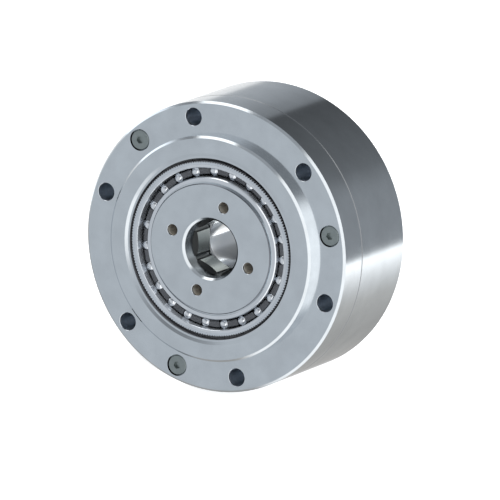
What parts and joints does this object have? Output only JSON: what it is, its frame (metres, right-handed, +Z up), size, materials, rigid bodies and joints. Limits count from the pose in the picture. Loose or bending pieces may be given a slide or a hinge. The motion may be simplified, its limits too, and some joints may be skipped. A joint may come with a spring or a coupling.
{
  "type": "strain wave gear",
  "caption": "Cup-type strain wave gear unit: flanged housing with pilot boss, oval wave generator with hexagonal hollow input, ball bearing, toothed cup and cross roller output flange.",
  "frame": {"origin": "on the gear axis, in the plane of the front flange face", "axes": "+Y along the axis from the input side to the output side, +Z up, +X to the right seen from the input side"},
  "size_m": [0.107, 0.052, 0.107],
  "materials": {
    "ring_steel": "satin machined",
    "housing_steel": "satin machined",
    "screw_steel": "black oxide, satin",
    "seal_rubber": "matt",
    "bearing_steel": "ground",
    "ball_steel": "polished",
    "cup_steel": "satin",
    "cage_polymer": "matt",
    "plug_steel": "satin machined",
    "sleeve_steel": "satin",
    "flange_steel": "satin machined",
    "clamp_steel": "satin",
    "tube_steel": "polished"
  },
  "bodies": {
    "housing": {"circular_spline": "ring_steel", "housing_ring": "housing_steel", "housing_seal_ring": "seal_rubber", "assembly_screws": "screw_steel", "filler_plug": "housing_steel", "filler_pin": "bearing_steel", "output_seal": "seal_rubber"},
    "wave_generator": {"wave_generator_plug": "plug_steel", "inner_race": "bearing_steel", "drive_sleeve": "sleeve_steel"},
    "ball_set": {"bearing_balls": "ball_steel", "ball_cage": "cage_polymer"},
    "output": {"flexspline": "cup_steel", "outer_race": "bearing_steel", "output_flange": "flange_steel", "clamp_ring": "clamp_steel", "clamp_screws": "screw_steel", "centre_tube": "tube_steel", "tube_seal_ring": "seal_rubber"},
    "roller_set": {"cross_rollers": "ball_steel", "roller_spacers": "cage_polymer"}
  },
  "joints": [
    {"name": "input_rotation", "type": "hinge", "parent": "housing", "child": "wave_generator", "pos_m": [0, 0, 0], "axis": [0, 1, 0], "continuous": true, "deforming": ["flexspline"]},
    {"name": "ball_rotation", "type": "hinge", "parent": "housing", "child": "ball_set", "pos_m": [0, 0, 0], "axis": [0, 1, 0], "continuous": true},
    {"name": "output_rotation", "type": "hinge", "parent": "housing", "child": "output", "pos_m": [0, 0, 0], "axis": [0, 1, 0], "continuous": true},
    {"name": "roller_rotation", "type": "hinge", "parent": "housing", "child": "roller_set", "pos_m": [0, 0, 0], "axis": [0, 1, 0], "continuous": true}
  ],
  "couplings": [
    {"joint": "ball_rotation", "follows": "input_rotation", "ratio": 0.4544},
    {"joint": "output_rotation", "follows": "input_rotation", "ratio": -0.01},
    {"joint": "roller_rotation", "follows": "input_rotation", "ratio": -0.0048}
  ]
}
